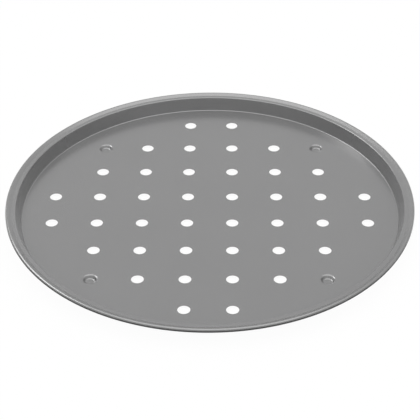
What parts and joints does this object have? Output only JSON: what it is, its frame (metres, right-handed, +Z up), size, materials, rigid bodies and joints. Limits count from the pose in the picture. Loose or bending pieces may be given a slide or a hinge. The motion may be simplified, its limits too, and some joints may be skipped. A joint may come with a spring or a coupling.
{
  "type": "perforated pizza pan",
  "caption": "Round shallow pizza pan with a perforated flat floor on four pressed feet, a low leaning wall and a curled rim over a steel wire.",
  "frame": {"origin": "under the centre of the pan, on the surface that its four pressed feet stand on", "axes": "+Z up out of the tray; the rows of holes run along X and Y"},
  "size_m": [0.3302, 0.3302, 0.0151],
  "materials": {
    "coated_steel": "satin grey non-stick coating with a fine metallic sheen, on pressed carbon steel sheet",
    "rim_wire_steel": "drawn plain steel wire, hidden inside the curled rim"
  },
  "bodies": {
    "root": {"pan_body": "coated_steel", "rim_wire": "rim_wire_steel"}
  },
  "joints": []
}
